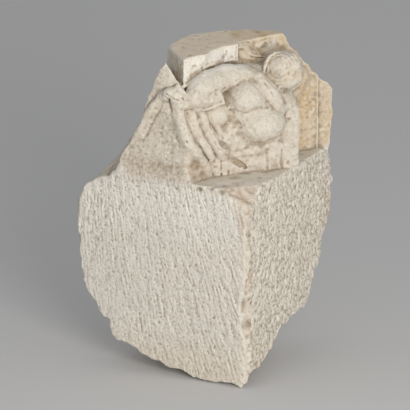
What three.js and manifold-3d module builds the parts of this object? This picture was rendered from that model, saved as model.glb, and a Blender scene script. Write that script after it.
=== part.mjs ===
// Carved limestone corbel, one stone.
//
// The block has two dressed faces that meet at a chipped vertical arris, a flat
// back bed and a flat top bed. A ledge cuts the corner off above the tail. A worn
// robed figure crouches over the ledge, set diagonally across the corner under a
// projecting slab that is broken away to the right. Right of the figure lies a plain
// sunk panel with one thin upright fillet.
//
// Working coordinates, in units of U millimetres:
//   t  lateral, along the diagonal front (right is positive)
//   d  depth behind the meeting line of the two dressed faces
//   z  height above the ledge
// The dressed faces are the planes d = -t (left) and d = t (right).
import * as THREE from 'three';
import { mergeVertices } from 'three/addons/utils/BufferGeometryUtils.js';
import Module from 'manifold-3d';

// ---- driving dimensions ----
const U = 1.3; // millimetres per working unit
const BACK = 150; // depth of the flat back bed behind the arris
const TOP = 124; // height of the top bed over the ledge
const ORIGIN_Z = -40; // height of the frame's origin, halfway up the back bed
const HALF = 152; // half width of the raw wedge before it is trimmed
const FOOT = -214; // below the lowest point of the tail
const SLAB_LEFT = -46; // left return of the slab
const SLAB_FRONT = 69; // depth of the slab's left corner
const SLAB_UNDER = 97; // underside of the slab at its left end
const PANEL = 121; // plane of the sunk panel on the right
const FILLET_T = 111; // centre of the upright fillet
const BORDER_T = 75; // right side of the figure's block
const GROUND_LEFT = 53.5; // figure's ground at its left end
const GROUND_MID = 66; // figure's ground where it turns frontal
const TAPER = 0.1; // how fast broken edges fall away behind the face
const SIGHT = [0.315, -0.341]; // least fall of the left and upper breaks, per unit of depth

// ---- small helpers ----
const mix = (a, b, u) => a + (b - a) * u;
const clamp = (v, a, b) => Math.min(b, Math.max(a, v));
const ramp = (v, a, b) => clamp((v - a) / (b - a), 0, 1);
function along(table, v) {
  // value of a table of [position, value] rows at position v
  if (v <= table[0][0]) return table[0][1];
  for (let i = 1; i < table.length; i++) {
    if (v <= table[i][0]) return mix(table[i - 1][1], table[i][1], ramp(v, table[i - 1][0], table[i][0]));
  }
  return table[table.length - 1][1];
}

const wasm = await Module();
wasm.setup();

function solid(points, triangles) {
  const geometry = new THREE.BufferGeometry();
  geometry.setAttribute('position', new THREE.Float32BufferAttribute(points.flat(), 3));
  geometry.setIndex(triangles.flat());
  return solidOf(geometry);
}
function solidOf(geometry) {
  const bare = geometry.clone();
  bare.deleteAttribute('normal');
  bare.deleteAttribute('uv');
  const merged = mergeVertices(bare, 1e-4);
  return new wasm.Manifold(
    new wasm.Mesh({
      numProp: 3,
      vertProperties: new Float32Array(merged.attributes.position.array),
      triVerts: new Uint32Array(merged.index.array),
    }),
  );
}

// Closed skin through rings of equal length, with triangulated ends.
function rings(list, capPlane) {
  const n = list[0].length;
  const points = list.flat();
  const triangles = [];
  for (let k = 0; k + 1 < list.length; k++) {
    for (let i = 0; i < n; i++) {
      const j = (i + 1) % n;
      const a = k * n + i;
      const b = k * n + j;
      const c = (k + 1) * n + j;
      const e = (k + 1) * n + i;
      triangles.push([a, b, c], [a, c, e]);
    }
  }
  const flat = (ring) => ring.map((p) => new THREE.Vector2(p[capPlane[0]], p[capPlane[1]]));
  for (const [a, b, c] of THREE.ShapeUtils.triangulateShape(flat(list[0]), [])) triangles.push([c, b, a]);
  const last = (list.length - 1) * n;
  for (const [a, b, c] of THREE.ShapeUtils.triangulateShape(flat(list[list.length - 1]), []))
    triangles.push([last + a, last + b, last + c]);
  const made = solid(points, triangles);
  return made.volume() > 0 ? made : solid(points, triangles.map(([a, b, c]) => [a, c, b]));
}

// ---- tail: a wedge with a chipped arris ----
// depth of the blunted arris at each height
const ARRIS = [
  [FOOT, 3.2],
  [-172, 4],
  [-158, 8],
  [-140, 7],
  [-128, 4],
  [-60, 3.6],
  [-40, 4.4],
  [-24, 6.5],
  [-13, 10.5],
  [-5, 17],
  [0, 24],
];
const tail = rings(
  ARRIS.map(([z, c]) => [
    [-c, c, z],
    [c, c, z],
    [HALF, HALF, z],
    [HALF, HALF + 8, z],
    [-HALF, HALF + 8, z],
    [-HALF, HALF, z],
  ]),
  [0, 1],
);

// ---- carved features: control points [t, d, z, radius] ----
const ROLLS = {
  shoulderTop: [[-28, 71, 95, 10], [-10, 82, 97.5, 9.8], [5, 92, 98, 9.4], [20, 95, 96, 9.4], [33, 94, 91, 9], [44, 92, 86, 9]],
  arm: [[38.6, 78, 84, 9], [32, 80, 91, 11], [17, 81.5, 97, 12.5], [-1, 77.5, 98.5, 13], [-18, 70.5, 97, 13], [-31, 63, 93, 12], [-38, 60, 86, 10]],
  sleeve: [[-36, 60.5, 83, 10], [-24, 62, 82, 11], [-16, 64.5, 81, 9]],
  collar: [[34.4, 74, 95, 7.5], [39.3, 69.4, 87.6, 9], [44.8, 67, 80.5, 9], [50, 67.4, 71.5, 8.5], [54, 71, 62, 7.5]],
  strand: [[-67.6, 71, 87, 4.6], [-71.8, 76, 76.8, 4.8], [-78, 82.5, 64, 5], [-83.4, 88.5, 47, 5], [-89, 94, 32, 4.2]],
  outerFold: [[-52.5, 59.4, 78.6, 4.2], [-51.4, 56.4, 65.4, 4.8], [-50.5, 54.2, 57.6, 5], [-48, 52, 48.4, 5], [-43.6, 51, 38.8, 5], [-36.8, 53, 29.2, 5], [-29.6, 57.6, 19.8, 4.6], [-24.6, 62, 11, 4.4], [-21.5, 66, 1, 4]],
  middleFold: [[-41.5, 62, 76, 3.8], [-39.1, 60.6, 64.8, 4], [-36.8, 59.4, 55.5, 4.2], [-32.9, 58.4, 46, 4.4], [-28.3, 58.4, 37.2, 4.4], [-23.6, 60, 29, 4.2], [-19.4, 63, 21.2, 3.8]],
  innerFold: [[-32.2, 62.4, 76, 4], [-27.6, 62, 64.3, 4.6], [-25.2, 61.6, 55.8, 4.8], [-22.4, 61.6, 48.2, 4.8], [-18, 62, 40.3, 4.8], [-13.6, 63.2, 32.2, 4.8], [-8.8, 65, 25, 4.8], [-6.5, 67, 19, 4.4]],
  widePleat: [[-11.7, 69, 18.4, 4.8], [-11.3, 69, -3, 4.8]],
  narrowPleat: [[-3.2, 69.4, 16.4, 3.4], [-3.2, 69.6, -3, 3.4]],
  upperRidge: [[90.3, 102.5, 85.8, 3.4], [74.8, 88.5, 76.9, 4], [64.6, 82.5, 74, 4.2], [57.3, 79.5, 73, 4.2]],
  lowerRidge: [[97.9, 109, 77.9, 3.6], [80.3, 92.6, 71.4, 3.8], [72.3, 85, 68.6, 4], [71.4, 76.6, 59.2, 4], [72.4, 74.2, 51.1, 4], [73, 73.6, 39.6, 3.8], [73.8, 75, 3, 3.6]],
  hoodRim: [[38.7, 78, 98.2, 2.4], [41.8, 77, 110.9, 2.8], [44.6, 77.6, 116.2, 2.8], [49.5, 79, 119.6, 2.8], [56.9, 81, 120.3, 2.6], [65.2, 84, 118.8, 2.4], [72.7, 88, 114.2, 2.2]],
  lip: [[-21.6, 65.4, 1.7, 2.6], [-32.4, 58.4, 1.2, 2.6], [-43, 50.6, 0.6, 2.4]],
};
const DOMES = {
  body: { at: [31, 93, 66], radius: [44, 32, 38] },
  head: { at: [64.4, 84, 99.4], radius: [19.8, 20.5, 20] },
  neck: { at: [64, 100, 95], radius: [19, 26, 19] },
  upperBack: { at: [20.5, 73, 77], radius: [20.5, 21, 19] },
  lowerBack: { at: [35.5, 72, 50], radius: [26, 23, 20.5] },
  middleBack: { at: [27, 75, 63], radius: [23, 20.5, 19] },
  forearm: { at: [-13, 72, 63], radius: [14, 12, 13] },
  knotA: { at: [-61, 62.5, 93], radius: [8.4, 6.8, 6] },
  knotB: { at: [-55, 60.5, 87], radius: [9, 7, 9] },
  knotC: { at: [-47.5, 60, 81.5], radius: [8, 7, 7.5] },
  curls: { at: [4, 76, 38], radius: [24, 15, 20] },
  curlA: { at: [1, 67.5, 43], radius: [8, 6, 6] },
  curlB: { at: [16, 69, 25], radius: [11, 6.4, 6.4] },
  footA: { at: [49.4, 76.4, 9], radius: [9.4, 10, 13] },
  footB: { at: [65.6, 77.4, 8.5], radius: [9.2, 9.4, 12.5] },
  footC: { at: [30, 76, 8], radius: [14, 9, 9] },
};
const GROOVES = {
  outer: [[-47.1, 56.4, 71, 2.2], [-42, 55.6, 54, 2.5], [-38.4, 55.8, 45, 2.6], [-34.2, 57, 36, 2.7], [-28.7, 59.4, 26.5, 2.6], [-22.8, 62.8, 18, 2.2], [-18.4, 65.6, 10.6, 2], [-16.5, 67.4, 1, 1.8]],
  inner: [[-22.2, 62.4, 69.5, 2], [-19.2, 62.2, 56, 2.3], [-13.8, 63, 42.6, 2.6], [-6, 64.6, 32.4, 2.8], [1.6, 67.4, 22, 2.6], [1.7, 68.4, 16.5, 2.6], [6.4, 69.6, 13.3, 3.2], [13, 71, 9.2, 3.4], [20.3, 71.4, 4.4, 2.2]],
  hollow: [[-6.5, 68, 90, 3.4], [-3.1, 66.6, 85, 4.2], [-0.3, 65, 79, 4.4], [0.8, 63, 71, 3.2]],
  crease: [[6.8, 56.6, 67.5, 2.2], [13.5, 54.4, 65.3, 2.2], [19.4, 52.8, 67.3, 2.2], [31.2, 54.8, 70, 2]],
  undercut: [[30.6, 65, 29.6, 2.4], [39.3, 67, 32, 3.4], [48.5, 69.4, 33.8, 4], [55.6, 71.8, 36, 4], [58.8, 73, 42, 2.6]],
  brow: [[52, 73.6, 82.4, 2.4], [60, 75.6, 78.6, 3.2], [69.2, 81.8, 78.6, 3.2], [78, 90, 81, 2.8]],
  bandEdge: [[27.7, 68, 98.5, 1.8], [26.3, 64.4, 93.4, 1.9], [31.3, 61, 87.9, 1.9], [39.9, 58.6, 76.3, 1.9]],
  footGap: [[41.3, 70, 20, 1.9], [41.8, 70, 2, 1.9]],
};
// height of the slab's arched lower edge, and depth of its front at that edge and at the top
const ARCH = [[-46, 92.5], [-40.4, 96], [-36.3, 100.2], [-28, 104.4], [-12.2, 107], [4.3, 106.6], [19.8, 105], [31.7, 100.5], [44.2, 94.2], [60, 88], [77, 80]];
const SLAB_LOW = [[-46, 68.5], [-36, 71.5], [-28, 75.5], [-12, 85.5], [4, 97], [19.8, 101.5], [24, 104], [44, 105], [55, 108], [66, 114], [77, PANEL]];
const SLAB_HIGH = [[-46, 69], [-34.5, 75.6], [-21, 78], [-9.5, 90.5], [5.7, 101], [22.2, 103], [24.2, 107], [39, 116], [55, PANEL], [77, PANEL]];
// left outline of the folds
const FOLD = [[0, -21.5], [11, -24.6], [20, -29.6], [29, -36.8], [39, -43.6], [48, -48], [58, -50.5], [66, -51.4], [79, -52.5]];

function rollDepth(chain, t, z) {
  let best = Infinity;
  for (let i = 1; i < chain.length; i++) {
    const [t0, d0, z0, r0] = chain[i - 1];
    const [t1, d1, z1, r1] = chain[i];
    const u = clamp(((t - t0) * (t1 - t0) + (z - z0) * (z1 - z0)) / ((t1 - t0) ** 2 + (z1 - z0) ** 2), 0, 1);
    const r = mix(r0, r1, u);
    const off = Math.hypot(t - mix(t0, t1, u), z - mix(z0, z1, u));
    if (off < r) best = Math.min(best, mix(d0, d1, u) - Math.sqrt(r * r - off * off));
  }
  return best;
}
function domeDepth({ at, radius }, t, z) {
  const q = 1 - ((t - at[0]) / radius[0]) ** 2 - ((z - at[2]) / radius[2]) ** 2;
  return q > 0 ? at[1] - radius[1] * Math.sqrt(q) : Infinity;
}
function grooveDepth(chain, t, z) {
  let deepest = -Infinity;
  for (let i = 1; i < chain.length; i++) {
    const [t0, d0, z0, r0] = chain[i - 1];
    const [t1, d1, z1, r1] = chain[i];
    const u = clamp(((t - t0) * (t1 - t0) + (z - z0) * (z1 - z0)) / ((t1 - t0) ** 2 + (z1 - z0) ** 2), 0, 1);
    const off = Math.hypot(t - mix(t0, t1, u), z - mix(z0, z1, u)) / mix(r0, r1, u);
    if (off < 1) deepest = Math.max(deepest, mix(d0, d1, u) - 5 * off * off);
  }
  return deepest;
}

// top edge of the thin upright fin left of the slab, from its tip down to the slab
const finTop = (t) => mix(122, 100, ramp(t, -63, -51));
const fanStrand = (z) => along([[32, -89], [47, -83.4], [64, -78], [76.8, -71.8], [87, -67.6], [100, -59]], z);

const soft = (v, a, b) => {
  const u = ramp(v, a, b);
  return u * u * (3 - 2 * u);
};

function frontDepth(t, z) {
  if (t < SLAB_LEFT && z > finTop(t)) return BACK + 12;
  let depth;
  if (t < SLAB_LEFT) {
    // left face above the shoulder, the strip beyond the strand set back
    const beside = along(FOLD, z) - t;
    depth = -t + (0.9 + 1.9 * soft(beside, 2, 18)) * soft(z, 2, 17) + mix(1, 5, ramp(z, 27, 90)) * ramp(fanStrand(z) - t, -1, 3);
    if (beside < 0) depth = mix(depth, Math.max(depth, 58), soft(-beside, 1.5, 4) * soft(z, 30, 40));
  } else if (t < BORDER_T + ramp(z, 40, 0) * 2) {
    const arch = along(ARCH, t);
    let ground = Math.min(GROUND_LEFT + 0.52 * (t - SLAB_LEFT), GROUND_MID + 0.04 * (t + 22));
    ground += 3 * soft(t, 48, 64) * soft(z, 16, 30) * soft(-z, -80, -66) + 24 * soft(t, -16, 6) * soft(z, 62, 92);
    ground = mix(ground, along(SLAB_LOW, t) + 5, soft(z, 58, arch - 5));
    depth = z >= arch ? mix(along(SLAB_LOW, t), along(SLAB_HIGH, t), ramp(z, arch, TOP)) : ground;
    depth = mix(depth, PANEL, ramp(z, 66, 84) * ramp(t, 58, 74));
  } else {
    depth = PANEL;
  }
  for (const chain of Object.values(ROLLS)) depth = Math.min(depth, rollDepth(chain, t, z));
  for (const dome of Object.values(DOMES)) depth = Math.min(depth, domeDepth(dome, t, z));
  for (const chain of Object.values(GROOVES)) depth = Math.max(depth, grooveDepth(chain, t, z));
  // nothing of the carving hangs over the tail's faces
  if (t > SLAB_LEFT && z < 0.5) depth = Math.max(depth, Math.abs(t) + 1);
  // upright fillet on the panel
  if (t > 80 && z > 0 && Math.abs(t - FILLET_T) < 1.2) depth = Math.min(depth, PANEL - 1.5);
  return depth;
}

// ---- carved end: a skin over the front, closed on a plane behind the back bed ----
function lines(...runs) {
  // each run is [from, to, steps]; equal ends are kept once
  const out = [];
  for (const [from, to, steps] of runs)
    for (let i = 0; i <= steps; i++) {
      const v = mix(from, to, i / steps);
      if (!out.length || v > out[out.length - 1] + 0.05) out.push(v);
    }
  return out;
}
const acrossLines = lines([-112, -66, 8], [-63.4, -46.3, 6], [-45.9, 74.6, 43], [75.2, 96, 5], [102, 109.6, 1], [110.4, 111.6, 1], [112.6, HALF, 3]);
const upLines = lines([-8, 0.4, 1], [0.8, 96, 33], [98.5, TOP, 9]);

function reliefSkin() {
  const cols = acrossLines.length;
  const rows = upLines.length;
  const points = [];
  const triangles = [];
  for (const z of upLines) for (const t of acrossLines) points.push([t, Math.min(frontDepth(t, z), BACK + 8), z]);
  for (let j = 0; j + 1 < rows; j++) {
    for (let i = 0; i + 1 < cols; i++) {
      const a = j * cols + i;
      const b = a + 1;
      const c = b + cols;
      const e = a + cols;
      // the shorter diagonal follows the carving better
      const ac = Math.abs(points[a][1] - points[c][1]);
      const be = Math.abs(points[b][1] - points[e][1]);
      if (ac <= be) triangles.push([a, b, c], [a, c, e]);
      else triangles.push([a, b, e], [b, c, e]);
    }
  }
  const rim = [];
  for (let i = 0; i < cols; i++) rim.push(i);
  for (let j = 1; j < rows; j++) rim.push(j * cols + cols - 1);
  for (let i = cols - 2; i >= 0; i--) rim.push((rows - 1) * cols + i);
  for (let j = rows - 2; j > 0; j--) rim.push(j * cols);
  const start = points.length;
  for (const r of rim) points.push([points[r][0], BACK + 14, points[r][2]]);
  const hub = points.length;
  points.push([0, BACK + 14, TOP / 2]);
  rim.forEach((r, k) => {
    const next = (k + 1) % rim.length;
    triangles.push([rim[next], r, start + k], [rim[next], start + k, start + next], [start + next, start + k, hub]);
  });
  return solid(points, triangles);
}
const carved = reliefSkin();

// ---- broken outline: [t, z] round the stone, with the depth of the edge ----
const LEFT_BREAK = [[-63.2, 121.8, 69], [-68.7, 113, 75], [-75.5, 90.4, 81.5], [-80, 76, 86], [-84.8, 55.4, 89], [-90.4, 47, 92.5], [-91.5, 37, 93.5], [-96, 27, 98]];
const SHOULDER = [[-84, 11, 140], [-93.3, 4, 145], [-115, -10, 145], [-133, -27, 142]];
const LEFT_EDGE = [[-137, -44], [-134, -85], [-130, -123], [-123.6, -136], [-113, -154.5], [-107, -171], [-104.5, -177]];
const FOOT_EDGE = [[-84, -186], [-67, -195], [-48, -199.5], [-29, -205], [-5.6, -205], [4, -191], [18, -189], [26, -184], [38, -177], [46, -165.5], [60, -159]];
const RIGHT_EDGE = [[88.7, -155.5], [93, -151], [102.4, -128], [112.7, -103], [115.4, -92], [126.3, -71], [127, -43], [131, -38], [127, -30]];
const PANEL_EDGE = [[126, 7.5], [127.5, 40], [128, 61.5], [114.6, 73.3], [101, 89.4], [92.6, 100.7], [83, 111], [71.6, 124]];
const ABOVE = [[50, 146], [-40, 150], [-56, 136]];

const edge = [
  ...LEFT_BREAK,
  ...SHOULDER,
  ...LEFT_EDGE.map(([t, z]) => [t, z, -t]),
  ...FOOT_EDGE.map(([t, z]) => [t, z, Math.abs(t)]),
  ...RIGHT_EDGE.map(([t, z]) => [t, z, t]),
  ...PANEL_EDGE.map(([t, z]) => [t, z, PANEL]),
  ...ABOVE.map(([t, z]) => [t, z, PANEL]),
];
const inward = edge.map((_, i) => {
  const [t0, z0] = edge[(i + edge.length - 1) % edge.length];
  const [t1, z1] = edge[(i + 1) % edge.length];
  const length = Math.hypot(t1 - t0, z1 - z0);
  // the outline runs anticlockwise seen from the front, so its inside is on the left
  return [-(z1 - z0) / length, (t1 - t0) / length];
});
const nearRing = edge.map(([t, z, d]) => [t - (d + 30) * SIGHT[0], -30, z - (d + 30) * SIGHT[1]]);
const edgeRing = edge.map(([t, z, d]) => [t, d, z]);
const backRing = edge.map(([t, z, d], i) => {
  const behind = BACK - d;
  const fall = Math.max(0, SIGHT[0] * inward[i][0] + SIGHT[1] * inward[i][1]) + TAPER;
  return [t + inward[i][0] * fall * behind, BACK, z + inward[i][1] * fall * behind];
});
const outline = rings([nearRing, edgeRing, backRing], [0, 2]);

// ---- slab: its left return and back corners, in plan ----
const SLAB_PLAN = [[SLAB_LEFT, SLAB_FRONT + 1], [-30, 82], [0, 108], [56, 126], [70, 134], [43, BACK], [-12, BACK], [-40, 130], [SLAB_LEFT, 120]];
const slab = rings([SLAB_UNDER, TOP].map((z) => SLAB_PLAN.map(([t, d]) => [t, d, z])), [0, 1]);

// ---- the whole stone ----
// a big block beyond a plane, to cut with: the plane passes through `at`, facing along `normal`
function beyond(at, normal) {
  const box = new THREE.BoxGeometry(600, 600, 600);
  box.translate(0, 0, 300);
  box.applyQuaternion(new THREE.Quaternion().setFromUnitVectors(new THREE.Vector3(0, 0, 1), new THREE.Vector3(...normal).normalize()));
  box.translate(...at);
  return solidOf(box);
}
// the broken shoulder left of the carving: a slope that meets the steeper left break
const shoulder = beyond([-106, 106, 1], [-0.556, 0.105, 0.826]).intersect(beyond([-106, 106, 1], [-0.84, 0.4, 0.37]));
// the rear left corner of the top, steep above and easier below
const corner = beyond([-46, 119, TOP], [-0.667, 0.722, 0.185]).intersect(beyond([-46, 124.3, 103.3], [-0.6, 0.65, 0.45]));
const stone = tail
  .add(carved)
  .intersect(outline)
  .subtract(shoulder)
  .subtract(corner)
  .add(slab)
  .subtract(beyond([0, 0, TOP], [0, 0, 1]))
  .subtract(beyond([0, BACK, 0], [0, 1, 0]));

const made = stone.getMesh();
const position = new Float32Array(made.numVert * 3);
for (let i = 0; i < made.numVert; i++) {
  const [t, d, z] = made.vertProperties.slice(i * made.numProp, i * made.numProp + 3);
  position.set([t * U, (d - BACK) * U, (z - ORIGIN_Z) * U], i * 3);
}
let geometry = new THREE.BufferGeometry();
geometry.setAttribute('position', new THREE.BufferAttribute(position, 3));
geometry.setIndex(new THREE.BufferAttribute(new Uint32Array(made.triVerts), 1));
geometry.computeVertexNormals();

const limestone = new THREE.MeshStandardMaterial({ color: 0xc9bda8, roughness: 0.92, metalness: 0, flatShading: true });
const corbel = new THREE.Mesh(geometry, limestone);
corbel.name = 'corbel_stone';

const group = new THREE.Group();
group.add(corbel);
export default group;
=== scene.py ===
# Looks of the carved limestone corbel: one finely sculpted stone skin that stands for the CAD solid.
import math

import bpy
import numpy as np
import openvdb
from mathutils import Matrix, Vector


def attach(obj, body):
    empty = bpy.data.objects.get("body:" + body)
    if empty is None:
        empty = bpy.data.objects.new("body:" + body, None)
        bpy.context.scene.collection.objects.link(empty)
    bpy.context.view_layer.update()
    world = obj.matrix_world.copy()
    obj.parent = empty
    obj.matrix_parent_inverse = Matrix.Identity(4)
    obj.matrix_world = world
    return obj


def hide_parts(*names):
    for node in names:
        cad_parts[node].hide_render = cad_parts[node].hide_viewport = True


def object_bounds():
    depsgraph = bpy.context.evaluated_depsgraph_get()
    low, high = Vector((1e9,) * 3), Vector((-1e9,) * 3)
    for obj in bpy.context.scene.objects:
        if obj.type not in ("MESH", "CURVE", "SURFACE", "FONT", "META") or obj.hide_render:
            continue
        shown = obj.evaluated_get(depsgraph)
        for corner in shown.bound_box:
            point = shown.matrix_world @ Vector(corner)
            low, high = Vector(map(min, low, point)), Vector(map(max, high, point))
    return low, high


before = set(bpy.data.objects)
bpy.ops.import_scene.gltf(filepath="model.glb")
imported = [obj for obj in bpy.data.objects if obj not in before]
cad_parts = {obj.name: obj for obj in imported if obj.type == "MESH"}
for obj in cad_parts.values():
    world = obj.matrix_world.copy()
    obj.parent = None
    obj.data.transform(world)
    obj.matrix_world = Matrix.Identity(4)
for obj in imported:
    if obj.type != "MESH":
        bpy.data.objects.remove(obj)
cad_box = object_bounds()

# ---------------------------------------------------------------- working frame
# t is lateral along the diagonal front, d is depth behind the meeting line of the two dressed
# faces, z is height over the ledge, all in units of 1.3 mm. The dressed faces are d = -t and d = t.
U = 0.0013
BACK = 150.0
TOP = 124.0
Z0 = 40.0
H = 0.78  # voxel, in units
F = np.float32

t_ax = np.arange(-143.0, 136.0, H, dtype=F)
d_ax = np.arange(-3.0, 155.5, H, dtype=F)
z_ax = np.arange(-213.0, 129.0, H, dtype=F)
NT, ND, NZ = len(t_ax), len(d_ax), len(z_ax)


def ramp(v, a, b):
    return np.clip((v - a) / (b - a), 0.0, 1.0)


def smooth(v, a, b):
    u = ramp(v, a, b)
    return u * u * (3 - 2 * u)


def mix(a, b, u):
    return a + (b - a) * u


def table(v, rows):
    return np.interp(v, [r[0] for r in rows], [r[1] for r in rows])


def smin(a, b, k):
    h = np.maximum(k - np.abs(a - b), 0.0) / k
    return np.minimum(a, b) - h * h * (k * 0.25)


def smax(a, b, k):
    h = np.maximum(k - np.abs(a - b), 0.0) / k
    return np.maximum(a, b) + h * h * (k * 0.25)


# ---------------------------------------------------------------- seeded smooth noise
def spline_rows(ax, cell):
    """Cubic B-spline weights from a random lattice to the axis ax."""
    x = (ax - ax[0]) / cell + 1.0
    i = np.floor(x).astype(int)
    f = x - i
    w = np.stack([(1 - f) ** 3, 3 * f**3 - 6 * f**2 + 4, -3 * f**3 + 3 * f**2 + 3 * f + 1, f**3], 1) / 6
    m = int(i.max()) + 3
    rows = np.zeros((len(ax), m), F)
    for k in range(4):
        rows[np.arange(len(ax)), i - 1 + k] = w[:, k]
    return rows


def volume_noise(seed, cell):
    cells = (cell, cell, cell) if np.isscalar(cell) else cell
    a, b, c = (spline_rows(ax, s) for ax, s in zip((t_ax, d_ax, z_ax), cells))
    lattice = np.random.default_rng(seed).standard_normal((a.shape[1], b.shape[1], c.shape[1])).astype(F)
    out = np.tensordot(lattice, c, axes=(2, 1))  # i j z
    out = np.tensordot(out, b, axes=(1, 1))  # i z d
    out = np.tensordot(a, out, axes=(1, 0))  # t z d
    out = np.ascontiguousarray(out.transpose(0, 2, 1))
    out /= out[::4, ::4, ::4].std()
    return out


def flat_noise(seed, u, v):
    """Smooth noise at any points (u, v), one lattice cell to a unit."""
    rng = np.random.default_rng(seed)
    n = 256
    lat = rng.standard_normal((n, n)).astype(F)
    iu, iv = np.floor(u).astype(int), np.floor(v).astype(int)
    fu, fv = u - iu, v - iv

    def w(f):
        return [(1 - f) ** 3 / 6, (3 * f**3 - 6 * f**2 + 4) / 6, (-3 * f**3 + 3 * f**2 + 3 * f + 1) / 6, f**3 / 6]

    wu, wv = w(fu), w(fv)
    out = 0.0
    for a in range(4):
        for b in range(4):
            out = out + wu[a] * wv[b] * lat[(iu + a) % n, (iv + b) % n]
    return (out / 0.44).astype(F)


nA = volume_noise(11, 13.0)
nB = volume_noise(12, 5.2)
nC = volume_noise(13, 2.3)

# ---------------------------------------------------------------- tooling of the two dressed faces
S_STEP = 0.5
s_ax = np.arange(-8.0, 216.0, S_STEP)
SS, ZZ = np.meshgrid(s_ax, z_ax.astype(float), indexing="ij")


def lean_of(s):
    return np.radians(table(s, [(0, 17), (60, 13), (120, 9), (190, 5)]))


def left_tooling():
    p = SS - np.tan(lean_of(SS)) * ZZ + 0.9 * flat_noise(21, SS / 13, ZZ / 24)
    long1 = flat_noise(22, p / 1.55, ZZ / 13 + p / 9)
    long2 = flat_noise(23, p / 1.05, ZZ / 4)
    strength = 0.8 + 0.3 * flat_noise(24, SS / 17, ZZ / 21)
    grain = flat_noise(25, SS / 1.2, ZZ / 1.3)
    pits = np.maximum(flat_noise(26, SS / 2.0, ZZ / 2.4) - 1.6, 0.0) * smooth(ZZ, 24, 2)
    wave = flat_noise(27, SS / 24, ZZ / 34)
    tooled = smooth(ZZ, 12, -6)
    rows_ = np.sin(2 * np.pi * p / 3.7 + 1.3 * flat_noise(28, p / 9, ZZ / 26)) * smooth(flat_noise(29, p / 6, ZZ / 15), -0.9, 0.9)
    marks = strength * (0.13 * long1 + 0.13 * long2 + 0.2 * rows_) * (0.12 + 0.88 * tooled)
    return (marks + 0.16 * grain - 0.6 * pits + 0.35 * wave).astype(F)


def right_tooling():
    p = SS + 0.22 * ZZ + 1.2 * flat_noise(31, SS / 11, ZZ / 16)
    short = flat_noise(32, p / 1.7, ZZ / 3.6)
    lump = flat_noise(33, SS / 3.6, ZZ / 4.0)
    pits = np.maximum(flat_noise(34, SS / 1.7, ZZ / 2.0) - 0.7, 0.0)
    grain = flat_noise(35, SS / 1.2, ZZ / 1.2)
    wave = flat_noise(36, SS / 20, ZZ / 26)
    return (0.28 * short + 0.34 * lump + 0.14 * grain - 0.75 * np.minimum(pits, 1.4) + 0.45 * wave).astype(F)


MAP_L = left_tooling()
MAP_R = right_tooling()


def from_map(m, s, k0, k1):
    """m at face positions s (any shape) and height rows k0..k1."""
    x = np.clip((s - s_ax[0]) / S_STEP, 0, len(s_ax) - 2.001)
    i = x.astype(int)
    f = (x - i).astype(F)[..., None]
    return m[i, k0:k1] * (1 - f) + m[i + 1, k0:k1] * f


# ---------------------------------------------------------------- fronts that are maps of depth over (t, z)
TT, ZT = np.meshgrid(t_ax.astype(float), z_ax.astype(float), indexing="ij")
ARCH = [(-46, 92.5), (-40.4, 96), (-36.3, 100.2), (-28, 104.4), (-12.2, 107), (4.3, 106.6), (19.8, 105), (31.7, 100.5), (44.2, 94.2), (60, 88), (77, 80)]
SLAB_LOW = [(-46, 68.5), (-36, 71.5), (-28, 75.5), (-12, 85.5), (4, 97), (19.8, 101.5), (22.2, 102), (24, 106), (31, 105.5), (44, 105), (55, 108), (66, 114), (77, 121)]
SLAB_HIGH = [(-46, 69), (-34.5, 75.6), (-21, 78), (-9.5, 90.5), (5.7, 101), (22.2, 103), (24.2, 110), (39, 116), (55, 121), (77, 121)]


def ground_map():
    low = np.minimum(50.5 + 0.56 * (TT + 46), 66 + 0.04 * (TT + 18))
    # the narrow strip left of the border lies back
    low = low + 3.0 * smooth(TT, 48, 64) * smooth(ZT, 16, 30) * smooth(ZT, 80, 66)
    low = low + 24 * smooth(TT, -16, 6) * smooth(ZT, 62, 92)
    arch = table(TT, ARCH)
    s_low, s_high = table(TT, SLAB_LOW), table(TT, SLAB_HIGH)
    under = mix(low, s_low + 2.6, smooth(ZT, 58, arch - 5))
    slab = mix(s_low, s_high, ramp(ZT, arch, TOP))
    # broken beds of stone to the right of the step
    rough = smooth(TT, 22.5, 25) * smooth(TT, 66, 50)
    bed = ZT + 0.10 * TT + 1.6 * flat_noise(41, TT / 11, ZT / 9)
    slab = slab + rough * (0.7 * flat_noise(43, TT / 14 + 9, bed / 1.5) + 0.4 * flat_noise(44, TT / 4, ZT / 3))
    slab = slab + 0.4 * flat_noise(42, TT / 7, ZT / 6) * smooth(TT, -46, -30)
    slab = slab + 0.9 * smooth(ZT - arch, 1.6, 0.2) * smooth(TT, 24, 20) - 0.8 * smooth(ZT - arch, 5.5, 2.4) * smooth(ZT - arch, 1.0, 2.2) * smooth(TT, 24, 20)
    return mix(under, slab, ramp(ZT, arch - 0.6, arch + 0.6)).astype(F)


FOLD = [(0, -21.5), (11, -24.6), (20, -29.6), (29, -36.8), (39, -43.6), (48, -48), (58, -50.5), (66, -51.4), (79, -52.5)]


def left_map():
    """How far the left face is set back from d = -t."""
    strand = table(ZT, [(30, -90), (48, -84.5), (65, -78.9), (77.6, -72.6), (87.5, -68.2), (100, -60)])
    beside = table(ZT, FOLD) - TT
    sunk = (0.5 + 1.9 * smooth(beside, 4, 22)) * smooth(ZT, 2, 17)
    beyond = mix(1.0, 5.0, ramp(ZT, 27, 90)) * smooth(strand - TT, -1, 3) * smooth(ZT, 20, 30)
    dip = 1.6 * smooth(ZT, -2, 6) * smooth(ZT, 26, 12) * smooth(TT, -92, -70)
    out = sunk + beyond + dip
    # between the folds the stone lies further back
    deep = np.clip(55.5 + TT, 3, 12)
    return mix(out, deep, smooth(-beside, 1.5, 4) * smooth(ZT, 30, 40) * smooth(ZT, 92, 82)).astype(F)


def slope_scale(m):
    gt, gz = np.gradient(m, H)
    return (1 / np.sqrt(1 + np.minimum(gt * gt + gz * gz, 60))).astype(F)


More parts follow.
